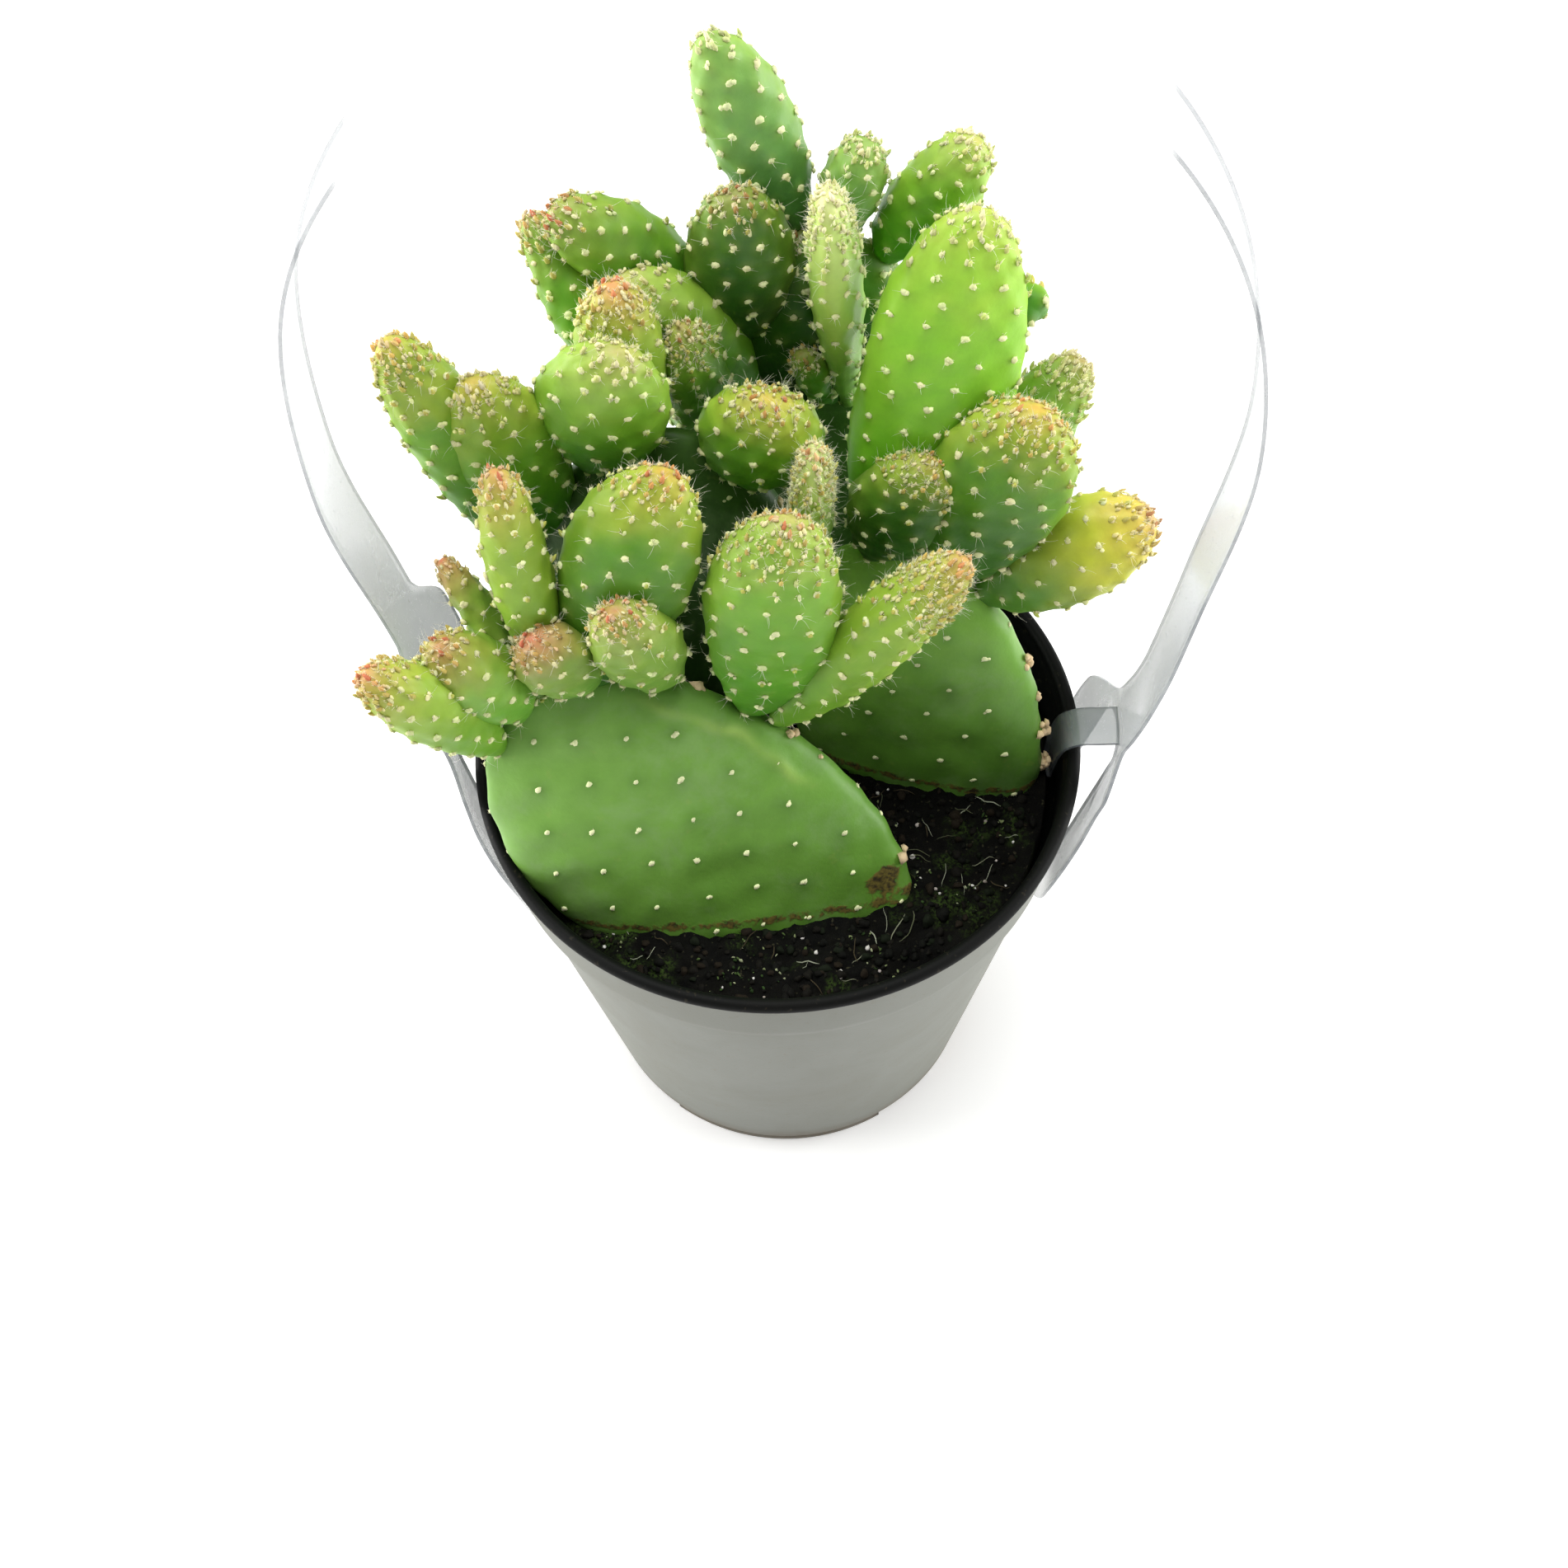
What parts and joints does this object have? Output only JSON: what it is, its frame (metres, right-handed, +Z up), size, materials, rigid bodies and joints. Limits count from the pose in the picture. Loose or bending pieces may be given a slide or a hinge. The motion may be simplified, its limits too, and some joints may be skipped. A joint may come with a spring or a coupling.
{
  "type": "potted paddle cactus",
  "caption": "Paddle cactus with flat oval segments growing from one another, in a round plastic nursery pot with a clear carrying strap.",
  "frame": {"origin": "centre of the pot's underside, on the surface it stands on", "axes": "+Z up, -Y to the front of the plant, +X to the right as seen from the front"},
  "size_m": [0.1333, 0.105, 0.2583],
  "materials": {
    "pot": "satin warm grey outside, black inside and on the lip",
    "soil": "damp dark peat mix with pale grains and fibres",
    "mature_pad": "waxy mid-green skin with faint mottling and corky marks",
    "young_pad": "waxy yellow-green skin, paler and redder towards the tip",
    "young_bud": "soft green skin with a red-brown tip",
    "areole": "pale woolly cushions with short bristles",
    "clear_strap": "clear glossy sheet with slightly darker cut edges"
  },
  "bodies": {
    "root": {"pot": "pot", "soil": "soil", "front_main_pad": "mature_pad", "right_main_pad": "mature_pad", "left_main_pad": "mature_pad", "rear_main_pad": "mature_pad", "front_pad_1": "young_pad", "front_pad_2": "young_pad", "front_bud_1": "young_bud", "front_pad_3": "young_pad", "front_bud_2": "young_bud", "front_pad_4": "young_pad", "front_bud_3": "young_bud", "front_pad_5": "young_pad", "front_pad_6": "young_pad", "left_pad_1": "young_pad", "left_pad_2": "young_pad", "left_pad_3": "young_pad", "left_pad_4": "young_pad", "left_pad_5": "young_pad", "left_pad_6": "young_pad", "right_pad_1": "young_pad", "right_pad_2": "young_pad", "right_pad_3": "young_pad", "right_pad_4": "young_pad", "right_pad_5": "young_pad", "right_pad_6": "young_pad", "right_bud_1": "young_bud", "rear_pad_1": "young_pad", "rear_pad_2": "young_pad", "rear_pad_3": "young_pad", "rear_pad_4": "young_pad", "rear_pad_5": "young_pad", "rear_pad_6": "young_pad", "rear_pad_7": "young_pad", "rear_pad_8": "young_pad", "rear_pad_9": "young_pad", "rear_bud_1": "young_bud", "carry_strap": "clear_strap"}
  },
  "joints": []
}
